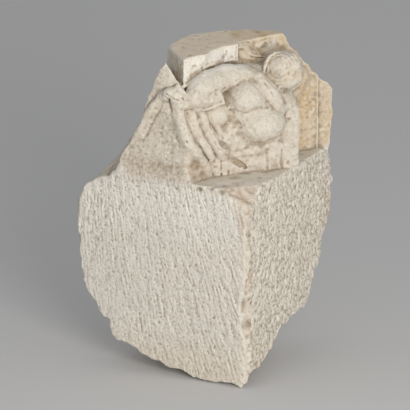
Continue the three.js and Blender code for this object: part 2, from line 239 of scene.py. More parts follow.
GROUND = ground_map()
GROUND_S = slope_scale(GROUND)
LEFT = left_map()
ARRIS = [(-214, 3.2), (-172, 3.8), (-158, 6), (-146, 8.5), (-136, 8), (-124, 6), (-108, 4.4), (-60, 3.6), (-40, 4.4), (-27, 6), (-17, 8.5), (-10, 12), (-5, 17), (0, 24)]

# ---------------------------------------------------------------- broken outline
LEFT_BREAK = [(-63.2, 121.8, 69), (-68.7, 113, 75), (-75.5, 90.4, 81.5), (-80, 76, 86), (-84.8, 55.4, 89), (-90.4, 47, 92.5), (-91.5, 37, 93.5), (-96, 27, 98)]
SHOULDER = [(-84, 11, 140), (-93.3, 4, 145), (-115, -10, 145), (-133, -27, 142)]
LEFT_EDGE = [(-137, -44), (-136, -63), (-134, -85), (-131.5, -107), (-130, -123), (-123.6, -136), (-114.5, -153.5), (-111.6, -156), (-107, -171), (-104.5, -177)]
FOOT_EDGE = [(-95, -179.6), (-84, -186), (-67, -195), (-48, -199.5), (-44, -203), (-29, -205), (-5.6, -205), (0, -200), (4, -191), (18, -189), (26, -184), (38, -177), (46, -165.5), (52, -161), (60, -159), (77, -156.6)]
RIGHT_EDGE = [(88.7, -155.5), (93, -151), (96, -141), (102.4, -128), (110, -113.5), (112.7, -103), (115.4, -92), (122.3, -81), (126.3, -71), (127, -43), (131, -38), (127, -30)]
PANEL_EDGE = [(126, 7.5), (127.5, 40), (128, 61.5), (114.6, 73.3), (101, 89.4), (92.6, 100.7), (83, 111), (71.6, 124)]
ABOVE = [(50, 146), (-40, 150), (-56, 136)]
EDGE = (
    LEFT_BREAK
    + SHOULDER
    + [(t, z, -t) for t, z in LEFT_EDGE]
    + [(t, z, abs(t)) for t, z in FOOT_EDGE]
    + [(t, z, t) for t, z in RIGHT_EDGE]
    + [(t, z, 121.0) for t, z in PANEL_EDGE + ABOVE]
)
SIGHT = (0.315, -0.341)
TAPER = 0.12


def outline_field():
    """Signed distance to the broken outline on a coarse grid, taken slice by slice in depth."""
    step = max(1, round(2.3 / H))
    ti, di, zi = (np.arange(0, n + step, step) for n in (NT, ND, NZ))
    ct = (t_ax[0] + ti * H)[:, None, None].astype(F)
    cz = (z_ax[0] + zi * H)[None, None, :].astype(F)
    cd = (d_ax[0] + di * H).astype(float)
    n = len(EDGE)
    e = np.array(EDGE, float)
    path_t, path_z = np.zeros((n, len(cd))), np.zeros((n, len(cd)))
    for i in range(n):
        a, b = e[(i - 1) % n], e[(i + 1) % n]
        length = math.hypot(b[0] - a[0], b[1] - a[1])
        inn = (-(b[1] - a[1]) / length, (b[0] - a[0]) / length)
        fall = max(0.0, SIGHT[0] * inn[0] + SIGHT[1] * inn[1]) + TAPER
        near, far = np.minimum(cd - e[i, 2], 0), np.maximum(cd - e[i, 2], 0)
        path_t[i] = e[i, 0] + near * SIGHT[0] + far * fall * inn[0]
        path_z[i] = e[i, 1] + near * SIGHT[1] + far * fall * inn[1]
    best = np.full((len(ti), len(cd), len(zi)), 1e9, F)
    inside = np.zeros(best.shape, bool)
    for i in range(n):
        j = (i + 1) % n
        ax_, az = path_t[i][None, :, None].astype(F), path_z[i][None, :, None].astype(F)
        bx, bz = path_t[j][None, :, None].astype(F), path_z[j][None, :, None].astype(F)
        ex, ez = bx - ax_, bz - az
        px, pz = ct - ax_, cz - az
        u = np.clip((px * ex + pz * ez) / np.maximum(ex * ex + ez * ez, 1e-6), 0, 1)
        dist = (px - u * ex) ** 2 + (pz - u * ez) ** 2
        np.minimum(best, dist, out=best)
        crosses = (az > cz) != (bz > cz)
        at = ax_ + (cz - az) * ex / np.where(np.abs(ez) < 1e-6, 1e-6, ez)
        inside ^= crosses & (ct < at)
    best = np.sqrt(best)
    return np.where(inside, -best, best), step


OUT, OUT_STEP = outline_field()


def outline_block(i0, i1, j0, j1, k0, k1):
    def rows(a, b):
        x = np.arange(a, b) / OUT_STEP
        lo = int(x[0])
        hi = int(x[-1]) + 2
        i = x.astype(int) - lo
        f = (x - x.astype(int)).astype(F)
        m = np.zeros((b - a, hi - lo), F)
        m[np.arange(b - a), i] = 1 - f
        m[np.arange(b - a), i + 1] += f
        return m, lo, hi

    (a, a0, a1), (b, b0, b1), (c, c0, c1) = rows(i0, i1), rows(j0, j1), rows(k0, k1)
    v = OUT[a0:a1, b0:b1, c0:c1]
    v = np.tensordot(a, v, axes=(1, 0))
    v = np.tensordot(v, b, axes=(1, 1))
    v = np.tensordot(v, c, axes=(1, 1))
    return v


# ---------------------------------------------------------------- carved features
# joined: ("roll", blend, [(t, d, z, radius), ...]), ("dome", blend, centre, radii) or ("block", blend, centre, half sizes, rounding, turn)
JOIN = [
    ("dome", 7, (31, 93, 66), (44, 32, 38)),  # mass of the body
    ("roll", 4, [(-28, 71, 95, 10), (-10, 82, 97.5, 9.8), (5, 92, 98, 9.4), (20, 95, 96, 9.4), (33, 94, 91, 9), (44, 92, 86, 9)]),  # top of the shoulder
    ("roll", 3, [(38.6, 78, 84, 9), (32, 80, 91, 11), (17, 81.5, 97, 12.5), (-1, 77.5, 98.5, 13), (-18, 70.5, 97, 13), (-31, 63, 93, 12), (-38, 60, 86, 10)]),  # arm
    ("roll", 3, [(-36, 62, 84, 10), (-24, 65.8, 83.5, 11), (-16, 67.4, 82.5, 10)]),  # sleeve
    ("roll", 2.4, [(-36, 63.2, 77.5, 7.5), (-24, 65, 78.5, 8), (-14, 66, 80, 7)]),
    ("roll", 1.6, [(-38, 58.4, 76.5, 1.6), (-27.7, 58.6, 72.4, 1.9), (-21.6, 58.2, 73.7, 2.0), (-13.1, 58.6, 76.2, 2.0), (-7, 60, 77.2, 1.8)]),  # sleeve's mouth
    ("roll", 1.6, [(-7, 60, 77.2, 1.8), (-8.4, 60.4, 82.7, 1.8), (-12, 60, 88.1, 1.7), (-19, 60, 92, 1.6)]),
    ("dome", 3, (-13, 72, 63), (14, 12, 13)),  # forearm
    ("dome", 3.5, (20.5, 73, 78), (19.8, 21, 17.5)),  # back, upper lobe
    ("dome", 3.5, (35.5, 72, 49.5), (25.5, 23, 19.5)),  # back, lower lobe
    ("dome", 5, (28, 76.2, 63), (22, 20, 18)),
    ("roll", 2.4, [(34.4, 74, 95.1, 7), (39.3, 69.4, 87.6, 8.4), (44.8, 67, 80.5, 8.6), (50, 67.4, 71.5, 8), (54, 71, 62, 7)]),  # band under the head
    ("roll", 8, [(64, 87, 97, 15), (62, 112, 94, 17)]),  # neck
    ("dome", 2.5, (64.4, 84, 99.4), (19.8, 20.5, 20)),  # head
    ("roll", 1.8, [(41.2, 80, 96, 1.0), (42.2, 79, 103.7, 1.5), (44.4, 79, 110, 1.6), (47.6, 79.6, 114.8, 1.6), (52.5, 81, 117.4, 1.5), (59, 82, 118.2, 1.3), (66, 85, 117, 1.2), (73, 88, 113, 1.1)]),  # hood's rim
    ("roll", 2.4, [(90.3, 102.5, 85.8, 2.8), (84.9, 95.5, 81.1, 3.0), (74.8, 88.5, 76.9, 3.4), (64.6, 82.5, 74, 3.8), (57.3, 79.5, 73, 3.8)]),  # drapery right of the head
    ("roll", 2.4, [(97.9, 109, 77.9, 3), (90.5, 102, 73.4, 3), (80.3, 92.6, 71.4, 3.2), (72.3, 85, 68.6, 3.4), (70, 80.6, 65.3, 3.6), (71.4, 76.6, 59.2, 3.6), (72.4, 74.2, 51.1, 3.4), (73, 73.6, 39.6, 3.2), (73.4, 74, 25.8, 3.2), (73.8, 75, 3, 3)]),  # and down the border
    ("dome", 6, (82, 105, 86), (14, 15, 11)),
    ("roll", 6, [(64, 80.5, 64, 9), (66, 80, 46, 9), (66.5, 80, 28, 9)]),
    ("block", 2.4, (49.4, 76.4, 10), (8.4, 9, 11), 4.4, -2),  # folds at the foot
    ("block", 2.4, (65.6, 77.4, 9.5), (8.4, 8.4, 10.4), 4.4, 1),
    ("roll", 3, [(14, 76, 9, 5.5), (25, 75, 9, 7), (36, 75.4, 10.5, 8)]),
    ("roll", 3, [(30, 71.4, 21.5, 3), (42, 71.4, 24, 3.2), (56, 73, 23.5, 3.2), (68, 75.5, 21, 3.4)]),
    ("roll", 4.5, [(-53.5, 60.4, 78.6, 4), (-52.8, 59.6, 72, 5), (-52.4, 58, 65.4, 5.6), (-51.4, 56.2, 57.6, 6), (-48.8, 54, 48.4, 6), (-44.4, 53, 38.8, 6), (-37.6, 54.6, 29.2, 5.6), (-30.2, 58.8, 19.8, 5.2), (-25, 62.8, 11, 4.8), (-21.7, 66.4, 1.4, 4.2)]),  # outer fold
    ("roll", 1.2, [(-41.5, 62.6, 76, 4.2), (-40.9, 62.4, 72, 4.8), (-39.1, 61.8, 64.8, 5.3), (-36.8, 60.8, 55.5, 5.6), (-32.9, 59.8, 46, 5.6), (-28.3, 59.6, 37.2, 5.5), (-23.6, 61, 29, 5.2), (-19.4, 63.6, 21.2, 4.4)]),  # middle fold
    ("roll", 1.2, [(-32.2, 63, 76, 4.2), (-31.2, 63.4, 71.8, 4.8), (-27.8, 63.2, 64.3, 5.4), (-25.4, 62.8, 55.8, 5.6), (-22.6, 62.6, 48.2, 5.6), (-18.2, 62.8, 40.3, 5.4), (-13.8, 63.8, 32.2, 5.2), (-9, 65.4, 25, 5), (-6.5, 67.2, 19, 4.2)]),  # inner fold
    ("roll", 1.4, [(-11.7, 69, 18.4, 4.6), (-11.5, 69, 9.4, 4.5), (-11.3, 69, -2.1, 4.5)]),  # pleats at the foot
    ("roll", 1.4, [(-3.2, 69.4, 16.4, 3.1), (-3.2, 69.6, 7.3, 3.1), (-3.2, 69.6, -2.1, 3.1)]),
    ("dome", 5, (4, 76, 38), (24, 14, 20)),  # ground of the worn curls
    ("roll", 1.8, [(-13, 65.2, 54, 2.4), (-9.6, 65.2, 47, 2.4), (-4.5, 65.2, 40.4, 2.4), (0.4, 65.8, 35.2, 2.4), (4.6, 66.8, 30.6, 2.2)]),
    ("dome", 2.4, (-4.4, 67.4, 41.5), (5, 5.4, 4)),  # worn curls
    ("dome", 2.4, (2.5, 67.4, 45.5), (5.5, 5.4, 4.4)),
    ("dome", 2.4, (-0.5, 67.4, 33.6), (4.6, 5, 4)),
    ("dome", 2.4, (6.5, 67.6, 36.6), (5.4, 5.4, 4.2)),
    ("dome", 2.4, (5, 68.6, 27), (4.8, 5, 4.2)),
    ("dome", 2.4, (13, 68.6, 28.5), (5, 5.4, 4)),
    ("dome", 2.4, (20, 69.6, 22), (5.4, 5.4, 4.2)),
    ("dome", 2.4, (10, 70, 20.4), (5, 5.4, 4)),
    ("dome", 2.4, (29, 71, 23), (6, 5.4, 4)),
    ("roll", 2.4, [(-68.2, 72.7, 87.5, 3.4), (-72.6, 77.3, 77.6, 3.8), (-78.9, 83.8, 65.3, 4.2), (-84.5, 89.6, 48.3, 4.2), (-90.6, 95.6, 33.5, 3.4)]),  # strand
    ("dome", 2, (-61, 62.5, 93), (8, 6.5, 5.5)),  # gathered knot
    ("dome", 2, (-55, 60.5, 88.5), (8, 6.5, 6.5)),
    ("dome", 2, (-47.5, 60, 81.5), (7.5, 6.5, 7)),
    ("dome", 2, (-66, 67.5, 89), (4.6, 5.5, 5.5)),
    ("dome", 3, (-54, 61.5, 81), (7, 6.5, 7)),
    ("roll", 2.6, [(-54.4, 60, 100, 1.8), (-53, 58.8, 96, 2.4), (-47.4, 57.2, 88, 3.0), (-41, 58.8, 78.6, 2.9)]),  # strap across it
    ("roll", 3, [(-21.6, 65.4, 1.7, 2.2), (-32.4, 58.4, 1.2, 2.2), (-44, 50, 0.2, 1.8)]),  # lip at the ledge's left tip
]
# cut: ("groove", blend, [(t, d, z, radius), ...]) or ("scoop", blend, centre, radii)
CUT = [
    ("groove", 1.4, [(-47.3, 55.4, 74, 1.1), (-47.1, 55.2, 70.8, 1.4), (-44.9, 54.6, 61.3, 1.6), (-42.4, 54.2, 53.9, 1.7), (-38.8, 54.4, 45.1, 1.9), (-34.6, 55.4, 36.2, 2.0), (-29.1, 58, 26.5, 1.9), (-23.2, 61.8, 18.3, 1.6), (-18.6, 65, 10.6, 1.4), (-16.7, 67, 0, 1.1)]),
    ("groove", 0.9, [(-36.4, 58.8, 72, 0.7), (-33.4, 58.2, 62.4, 0.8), (-31.3, 57.6, 54.9, 0.9), (-28, 57.2, 47.5, 0.9), (-23.6, 57.4, 39.4, 1.0), (-19.6, 58.8, 32.4, 1.1), (-16.4, 60.6, 26.4, 1.1), (-13.6, 63, 20.6, 1.0), (-12, 65, 17.6, 0.8)]),
    ("groove", 0.8, [(-25.5, 57.2, 62, 0.4), (-23, 56.8, 52.9, 0.6), (-19.8, 57, 43.1, 0.7), (-15.3, 58, 35, 0.7), (-10.5, 60.2, 27.6, 0.5)]),
    ("groove", 0.8, [(-53, 52.6, 56, 0.5), (-51, 50, 50, 0.7), (-47.4, 47.8, 42, 0.5)]),
    ("groove", 1.4, [(-22.2, 61, 69.5, 1.4), (-20.8, 60.6, 63.2, 1.7), (-19.2, 60.4, 55.8, 1.9), (-17.1, 60.4, 49.3, 2.1), (-13.8, 60.8, 42.6, 2.3), (-10.5, 61.4, 37.9, 2.4), (-6, 62.4, 32.4, 2.4), (-1.6, 63.8, 27.3, 2.3), (1.6, 65.4, 22.3, 2.0), (1.7, 66.6, 16.5, 2.0)]),
    ("groove", 1.2, [(1.4, 66.2, 16.7, 2.1), (6.4, 67.2, 13.3, 2.9), (13, 68.4, 9.2, 3.1), (20.3, 69.6, 4.4, 1.4)]),
    ("groove", 1.2, [(-13.1, 60.8, 49.5, 0.9), (-9.8, 61.2, 43.8, 1.3), (-5.3, 62, 37.9, 1.4), (-0.4, 62.6, 34.2, 1.0)]),
    ("groove", 1.2, [(-7.4, 66.4, 17, 0.9), (-7.4, 66.8, -1.5, 1.1)]),
    ("groove", 1.2, [(0.6, 67.2, 15, 0.8), (0.8, 67.4, -1.5, 0.9)]),
    ("groove", 2.4, [(-6.5, 65.4, 90.6, 2.6), (-3.1, 63, 85.3, 3.6), (-0.3, 61.6, 79, 3.8), (0.8, 60.4, 71, 2.4)]),  # hollow inside the arm
    ("groove", 1.2, [(-27.9, 57.4, 70.4, 0.9), (-21.7, 57, 71.5, 1.1), (-16.5, 57, 73, 1.2), (-12.3, 57.6, 74.4, 1.3), (-5.4, 59.5, 74.8, 1.4)]),
    ("groove", 1.8, [(0.7, 63.4, 72, 1.0), (6.8, 60.8, 67.5, 1.4), (13.5, 57.4, 65.3, 1.6), (19.4, 55.2, 66.6, 1.6), (23.6, 54.2, 68.4, 1.5), (31.2, 56.2, 69.4, 1.3), (39.3, 59, 68.5, 1.0)]),  # crease between the lobes
    ("groove", 1.0, [(31.7, 68.6, 102.8, 0.9), (27.7, 66.6, 98.5, 1.0), (26.3, 63.2, 93.4, 1.1), (31.3, 59.6, 87.9, 1.2), (35.9, 57.8, 81.8, 1.2), (39.9, 57, 76.3, 1.1), (42, 57.4, 69.7, 0.8)]),  # edges of the band
    ("groove", 1.2, [(38.6, 71.6, 102.5, 1.2), (43.2, 66.6, 94.5, 1.3), (49.6, 63.4, 87.3, 1.4), (55.6, 63.6, 81.4, 1.3), (58.6, 65, 74.6, 1.0)]),
    ("groove", 0.8, [(35, 66, 98, 0.5), (40.6, 60.6, 88, 0.6), (46.4, 58.4, 78, 0.5)]),
    ("groove", 2.4, [(30.6, 64, 30.3, 1.2), (39.3, 65, 32.8, 2.0), (48.5, 67.5, 34.8, 2.8), (55.6, 70, 36.5, 2.8), (58.8, 72, 42.4, 1.4)]),  # under the lower lobe
    ("groove", 1.8, [(52, 71.6, 83, 1.4), (60, 72.4, 79.4, 2.4), (69.2, 78.6, 79.2, 2.6), (78, 87, 81.2, 2.2)]),  # under the head
    ("groove", 1.4, [(92.9, 99.4, 82.4, 1.2), (86, 92.4, 77.8, 1.4), (75.3, 84.4, 74.4, 1.5), (66, 79, 70.8, 1.5), (62.6, 75.6, 66, 1.1)]),
    ("groove", 1.2, [(50, 76.6, 114.4, 0.5), (47, 74.6, 108, 0.7), (46.4, 73.6, 101, 0.7), (48, 71.4, 94, 0.6)]),  # inside the hood's rim
    ("groove", 1.2, [(41.3, 67.6, 21, 1.2), (41.4, 67.4, 13.5, 1.4), (41.8, 67.8, 2, 1.3)]),  # gaps between the folds at the foot
    ("groove", 1.2, [(57.4, 69, 19, 0.9), (57.2, 68.6, 10.5, 1.1), (57.4, 69, 1.6, 1.0)]),
    ("groove", 1.2, [(-69.6, 67, 90.1, 1.0), (-68.3, 66, 86.1, 1.1), (-67.3, 66, 80.7, 0.9)]),  # cracks in the knot
    ("groove", 1.0, [(-66.7, 60, 92.6, 0.7), (-62.1, 56.6, 89.1, 0.8), (-56.1, 54.8, 86.2, 0.8)]),
    ("groove", 1.2, [(-57, 57.2, 96, 0.5), (-51.5, 55.2, 88.5, 0.7), (-46, 55.6, 79.5, 0.6)]),
    ("groove", 1.2, [(-67.6, 69, 78, 0.7), (-71.6, 73.2, 69, 1.2), (-76, 77.8, 58, 1.6), (-80, 81.8, 46, 1.5), (-84, 85.8, 36, 0.8)]),  # beside the strand
    ("groove", 0.8, [(20.2, 102.2, 121.5, 0.4), (20, 102.4, 106, 0.6)]),  # cracks in the broken slab
    ("groove", 0.8, [(20, 102.6, 108.8, 0.5), (30, 104.2, 107.2, 0.7), (41, 107, 105.4, 0.5)]),
    # the brown of the hollow beside the ledge's tip is painted shade
    ("scoop", 5, (-38, 47.5, 14), (9.5, 8, 9.5)),  # brown hollow beside the ledge's tip
    ("scoop", 2.4, (-3, -3, -122), (11, 11.5, 15)),  # chips low on the arris
    ("scoop", 2.4, (6, -2, -138), (10, 12, 11)),
    ("scoop", 1.8, (-34, 30.5, -1), (7, 4.4, 3)),  # broken lip under the ledge
    ("scoop", 1.8, (-25, 21.5, -2.5), (7, 4.8, 4)),
    ("scoop", 1.8, (-15, 12.5, -4), (7, 5.4, 5)),
    ("scoop", 1.8, (-42, 39.5, -4), (6, 3.6, 3)),
    ("scoop", 1.8, (17, 15, -3), (7, 4.4, 4)),
    ("scoop", 1.8, (29, 27, -1.5), (6, 3.8, 3)),
    ("groove", 0.8, [(6.4, 4.6, -49, 0.4), (6, 4.2, -53, 1.0), (5.6, 4, -56, 0.4)]),
]
SWIRL = np.array((-0.545, -0.745, 0.385))


def reach(feature):
    kind, k, geo = feature[0], feature[1], feature[2]
    if kind in ("roll", "groove"):
        p = np.array([q[:3] for q in geo])
        r = max(q[3] for q in geo) + k + 1.5
        return p.min(0) - r, p.max(0) + r
    c, r = np.array(geo), np.array(feature[3]) + k + 1.5
    if kind == "block":
        r = r + 4
    return c - r, c + r


def distance(feature, T, D, Z):
    kind, geo = feature[0], feature[2]
    if kind in ("roll", "groove"):
        best = None
        for (t0, d0, z0, r0), (t1, d1, z1, r1) in zip(geo[:-1], geo[1:]):
            et, ed, ez = t1 - t0, d1 - d0, z1 - z0
            ll = et * et + ed * ed + ez * ez
            u = np.clip(((T - t0) * et + (D - d0) * ed + (Z - z0) * ez) / ll, 0, 1)
            v = np.sqrt((T - t0 - u * et) ** 2 + (D - d0 - u * ed) ** 2 + (Z - z0 - u * ez) ** 2) - (r0 + (r1 - r0) * u)
            best = v if best is None else np.minimum(best, v)
        return best
    c = geo
    if kind == "block":
        half, rnd, turn = feature[3], feature[4], math.radians(feature[5])
        x, y, z = T - c[0], D - c[1], Z - c[2]
        x, z = x * math.cos(turn) + z * math.sin(turn), -x * math.sin(turn) + z * math.cos(turn)
        qx, qy, qz = np.abs(x) - (half[0] - rnd), np.abs(y) - (half[1] - rnd), np.abs(z) - (half[2] - rnd)
        out = np.sqrt(np.maximum(qx, 0) ** 2 + np.maximum(qy, 0) ** 2 + np.maximum(qz, 0) ** 2)
        return out + np.minimum(np.maximum(np.maximum(qx, qy), qz), 0) - rnd
    r = feature[3]
    x, y, z = (T - c[0]) / r[0], (D - c[1]) / r[1], (Z - c[2]) / r[2]
    k0 = np.sqrt(x * x + y * y + z * z) + 1e-6
    k1 = np.sqrt((x / r[0]) ** 2 + (y / r[1]) ** 2 + (z / r[2]) ** 2) + 1e-6
    return k0 * (k0 - 1) / k1


JOIN_REACH = [reach(f) for f in JOIN]
CUT_REACH = [reach(f) for f in CUT]


def shape(i0, i1, j0, j1, k0, k1):
    T, D, Z = t_ax[i0:i1, None, None], d_ax[None, j0:j1, None], z_ax[None, None, k0:k1]
    lo = np.array((t_ax[i0], d_ax[j0], z_ax[k0]))
    hi = np.array((t_ax[i1 - 1], d_ax[j1 - 1], z_ax[k1 - 1]))
    a, b, c = nA[i0:i1, j0:j1, k0:k1], nB[i0:i1, j0:j1, k0:k1], nC[i0:i1, j0:j1, k0:k1]
    r2 = F(0.70710678)
    t2, d2 = T[:, :, 0], D[:, :, 0]
    s_left = (d2 - t2) * r2
    s_right = (d2 + t2) * r2
    # dressed faces
    left = (-T + LEFT[i0:i1, None, k0:k1] - D) * r2 - from_map(MAP_L, s_left, k0, k1)
    right = (T - D) * r2 - from_map(MAP_R, s_right, k0, k1)
    turn = (0.7 * smooth(Z, -14, -34) * smooth(Z, -142, -128)).astype(F)
    chip = (table(Z, ARRIS).astype(F) * (1 - 0.42 * turn) + turn * T - D) / np.sqrt(1 + turn * turn) + 0.6 * b + 0.9 * a + 0.35 * c + smooth(Z, -60, 0) * 1.2 * a
    wedge = smax(smax(left, right, 1.6), chip, 2.4)
    tail = smax(wedge, Z + 0.45 * a + 0.2 * b, 2.0)
    if hi[2] > -6:
        fig = (GROUND[i0:i1, None, k0:k1] - D) * GROUND_S[i0:i1, None, k0:k1]
        wall = 0.988 * (T - 77) - 0.157 * (D - 77)
        block = smax(smax(left, fig, 7.0), wall, 1.6)
        # sunk panel with its fillet
        across = T - 111
        fillet = 1.2 * np.exp(-((across / 1.1) ** 2)) - 1.0 * ramp(T, 111.5, 113)
        panel = 121 - D - fillet - 0.35 * from_map(MAP_L, T[:, :, 0] + 0 * d2 + 40, k0, k1)
        upper = smin(block, panel, 1.5)
        upper = np.maximum(upper, -Z - 3)
        solid = smin(tail, upper, 2.2)
        # left return of the slab, above the thin fin
        fin = np.interp(T, [-64.5, -51, -49], [124, 99, 97]).astype(F)
        gone = smax(T + 46, (fin - Z) * 0.6, 1.0)
        solid = smax(solid, -gone, 1.0)
    else:
        solid = tail
    for f, (p, q) in zip(JOIN, JOIN_REACH):
        if (p < hi).all() and (q > lo).all():
            v = distance(f, T, D, Z)
            if f[0] == "dome" and f[2][0] == 64.4:
                # wrapped hood: ridges round the swirl, worn away at the front
                x, y, z = T - f[2][0], D - f[2][1], Z - f[2][2]
                n = np.sqrt(x * x + y * y + z * z) + 1e-3
                ang = np.arccos(np.clip((x * SWIRL[0] + y * SWIRL[1] + z * SWIRL[2]) / n, -1, 1))
                worn = smooth(ang, 1.5, 1.2) * smooth(x - 0.6 * z, 3, -6)
                v = v - 0.3 * worn * np.cos(ang * 2 * np.pi / 0.23 + 0.9 * b + 2.2 * a) * smooth(ang, 0.25, 0.5) + 0.9 * smooth(ang, 1.05, 0.4) - 0.8 * a - 0.35 * b
                far = np.sqrt(((T - 67) / 13) ** 2 + ((D - 65) / 11) ** 2 + ((Z - 95) / 13) ** 2)
                v = v + smooth(far, 1.2, 0.5) * (1.1 + 0.3 * c + 0.22 * b)
            solid = smin(solid, v, f[1])
    for f, (p, q) in zip(CUT, CUT_REACH):
        if (p < hi).all() and (q > lo).all():
            solid = smax(solid, -distance(f, T, D, Z) + 0.12 * a + 0.05 * b + 0.15, f[1])
    # weathered surface of the carving
    carved = smooth(Z, -1, 5)
    curly = np.sqrt(((T - 4) / 16) ** 2 + ((Z - 38) / 26) ** 2)
    rough = 0.6 * smooth(curly, 1.15, 0.6) * smooth(D, 75, 70)
    rough = np.maximum(rough, 0.7 * smooth(T, 4, 14) * smooth(Z, 34, 26) * smooth(T, 80, 74))
    patchy = c * np.clip(0.75 + 0.55 * b, 0.15, 1.8)
    lumpy = smooth(T, 20, 27) * smooth(T, 76, 70) * (0.45 + 0.55 * smooth(T, 44, 38)) * smooth(Z, 31, 26) * carved
    solid = solid - lumpy * (0.9 * a + 0.3 * b + 0.15 * patchy)
    solid = solid - carved * ((0.2 + 0.12 * rough) * b + (0.2 + 0.26 * rough) * patchy + 0.36 * a)
    # beds and breaks
    out = outline_block(i0, i1, j0, j1, k0, k1) + 0.9 * a * 0.9 + 0.55 * b + 0.3 * c - 0.4
    if hi[2] > 90:
        out = out - 40 * smooth(T, -50, -47) * smooth(Z, 92, 97) * smooth(T, 66, 52) - 1.2 * smooth(Z, 112, 122)
        backs = (T - 70) * 0.51 + (D - 134.5) * 0.86
        solid = smax(solid, backs + 0.4 * b - 30 * smooth(Z, 100, 95), 1.0)
    solid = smax(solid, out, 1.2)
    shoulder = (T + 106) * -0.556 + (D - 106) * 0.105 + (Z - 1) * 0.826
    steep = (T + 106) * -0.84 + (D - 106) * 0.40 + (Z - 1) * 0.37
    slab_keep = 60 * smooth(T, -50, -47) * smooth(Z, 92, 97) if hi[2] > 90 else 0.0
    solid = smax(solid, smin(shoulder, steep, 2.0) + 0.5 * b + 0.25 * c + 0.5 * a - slab_keep, 1.0)
    corner = (T + 46) * -0.667 + (D - 119) * 0.722 + (Z - TOP) * 0.185
    corner = smin(corner, (T + 46) * -0.605 + (D - 124.3) * 0.655 + (Z - 103.3) * 0.453, 2.0)
    solid = smax(solid, corner + 0.4 * b, 1.0)
    solid = smax(solid, ((T + 46) * -0.62 + (Z - TOP) * 0.785 + 1.8 + 0.4 * a + 0.3 * b) * smooth(T, -52, -49) - 9 * smooth(T, -49, -52), 1.4)
    solid = smax(solid, Z - TOP + 0.35 + 0.16 * b + 0.10 * c + 0.2 * a * smooth(D, 118, 100), 0.9)
    solid = smax(solid, D - BACK + 0.35 + 0.12 * a + 0.08 * c, 1.0)
    return solid


def sculpt():
    vol = np.full((NT, ND, NZ), 6.0, F)
    step = 32
    for i in range(0, NT, step):
        for j in range(0, ND, step):
            for k in range(0, NZ, step):
                i1, j1, k1 = min(i + step, NT), min(j + step, ND), min(k + step, NZ)
                # a few samples tell whether the skin can pass through this block
                ci, cj, ck = (i + i1) // 2, (j + j1) // 2, (k + k1) // 2
                v = float(shape(ci, ci + 1, cj, cj + 1, ck, ck + 1)[0, 0, 0])
                lo = np.array((t_ax[i], d_ax[j], z_ax[k]))
                hi = np.array((t_ax[i1 - 1], d_ax[j1 - 1], z_ax[k1 - 1]))
                near = any((p < hi).all() and (q > lo).all() for p, q in JOIN_REACH)
                half = 0.5 * H * math.sqrt((i1 - i) ** 2 + (j1 - j) ** 2 + (k1 - k) ** 2)
                if v < -half * 1.35 - 6 or (v > half * 1.35 + 6 and not near):
                    vol[i:i1, j:j1, k:k1] = 6.0 if v > 0 else -6.0
                else:
                    vol[i:i1, j:j1, k:k1] = np.clip(shape(i, i1, j, j1, k, k1), -6, 6)
    grid = openvdb.FloatGrid(6.0)
    grid.copyFromArray(vol)
    points, tris, quads = grid.convertToPolygons(isovalue=0.0, adaptivity=0.0)
    return points, tris, quads


points, tris, quads = sculpt()
faces = np.concatenate([quads[:, [0, 1, 2]], quads[:, [0, 2, 3]], tris]) if len(tris) else np.concatenate([quads[:, [0, 1, 2]], quads[:, [0, 2, 3]]])


def largest_piece(points, faces):
    """Keeps the one stone and drops any loose crumb."""
    parent = np.arange(len(points))
    lab = np.arange(len(points))
    while True:
        low = lab[faces].min(1)
        new = lab.copy()
        for c in range(3):
            np.minimum.at(new, faces[:, c], low)
        new = new[new]
        if (new == lab).all():
            break
        lab = new
    root = np.bincount(lab).argmax()
    keep = lab[faces[:, 0]] == root
    used = np.zeros(len(points), bool)
    used[faces[keep].ravel()] = True
    index = np.cumsum(used) - 1
    return points[used], index[faces[keep]]


points, faces = largest_piece(points.astype(float), faces.astype(np.int64))
pos = np.empty_like(points)
pos[:, 0] = (t_ax[0] + points[:, 0] * H) * U
pos[:, 1] = (d_ax[0] + points[:, 1] * H - BACK) * U
pos[:, 2] = (z_ax[0] + points[:, 2] * H + Z0) * U


def facing_out(pos, faces):
    a, b, c = (pos[faces[:, i]] for i in range(3))
    return np.einsum("ij,ij->i", a, np.cross(b, c)).sum() > 0


if not facing_out(pos, faces):
    faces = faces[:, ::-1]


def make_mesh(name, pos, faces):
    mesh = bpy.data.meshes.new(name)
    mesh.vertices.add(len(pos))
    mesh.vertices.foreach_set("co", pos.astype(F).ravel())
    mesh.loops.add(len(faces) * 3)
    mesh.loops.foreach_set("vertex_index", faces.astype(np.int32).ravel())
    mesh.polygons.add(len(faces))
    mesh.polygons.foreach_set("loop_start", np.arange(0, len(faces) * 3, 3, dtype=np.int32))
    mesh.update(calc_edges=True)
    mesh.validate()
    return mesh


stone = bpy.data.objects.new("corbel_stone_carved", make_mesh("corbel_stone_carved", pos, faces))
bpy.context.scene.collection.objects.link(stone)

LIMIT = 194000


def thinned(ratio, group=None):
    thin = stone.modifiers.new("thin", "DECIMATE")
    thin.ratio = ratio
    if group:
        thin.vertex_group = group
        thin.vertex_group_factor = 0.35
    depsgraph = bpy.context.evaluated_depsgraph_get()
    done = bpy.data.meshes.new_from_object(stone.evaluated_get(depsgraph))
    stone.modifiers.clear()
    stone.vertex_groups.clear()
    old = stone.data
    stone.data = done
    bpy.data.meshes.remove(old)
    done.name = "corbel_stone_carved"


def triangles():
    return sum(len(p.vertices) - 2 for p in stone.data.polygons)


